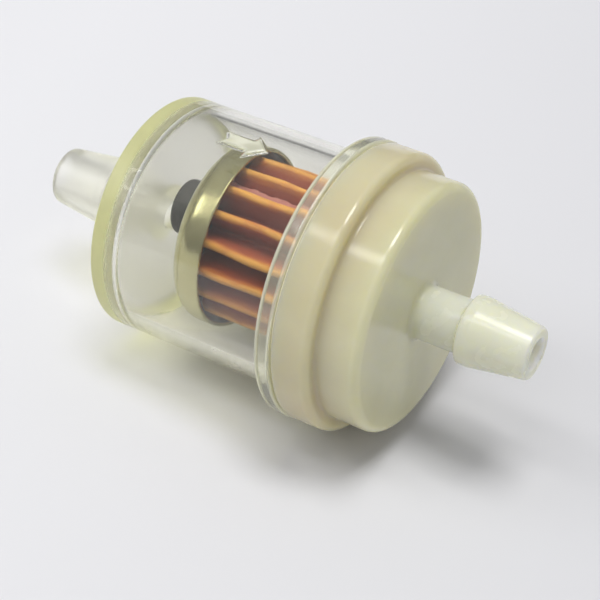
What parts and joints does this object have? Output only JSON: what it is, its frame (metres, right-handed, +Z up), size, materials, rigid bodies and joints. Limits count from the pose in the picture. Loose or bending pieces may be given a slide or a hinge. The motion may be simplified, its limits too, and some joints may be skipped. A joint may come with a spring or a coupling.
{
  "type": "fuel filter",
  "caption": "In-line fuel filter: clear bowl, cream outlet cap, two hose barbs, pleated paper element in steel end caps, and a disc magnet.",
  "frame": {"origin": "on the filter's axis, midway between the inlet tip and the outlet tip", "axes": "+X along the axis in the flow direction, towards the outlet barb; +Z up, the side that carries the flow arrow"},
  "size_m": [0.0564, 0.0296, 0.0296],
  "materials": {
    "clear_plastic": "clear moulded plastic, faint yellow tint",
    "cream_plastic": "glossy translucent cream moulding",
    "cement": "glossy",
    "plated_steel": "satin yellow-passivated zinc plate",
    "filter_paper": "matt resin-cured filter paper",
    "seam_cement": "satin",
    "core_steel": "satin",
    "dark_adhesive": "satin plastisol",
    "rubber": "matt",
    "ferrite": "matt ground ferrite"
  },
  "bodies": {
    "root": {"inlet_bowl": "clear_plastic", "outlet_cap": "cream_plastic", "joint_cement": "cement", "closed_end_cap": "plated_steel", "open_end_cap": "plated_steel", "pleated_paper": "filter_paper", "pleat_seam_bead": "seam_cement", "core_tube": "core_steel", "closed_end_adhesive": "dark_adhesive", "open_end_adhesive": "dark_adhesive", "outlet_grommet": "rubber", "magnet": "ferrite"}
  },
  "joints": []
}
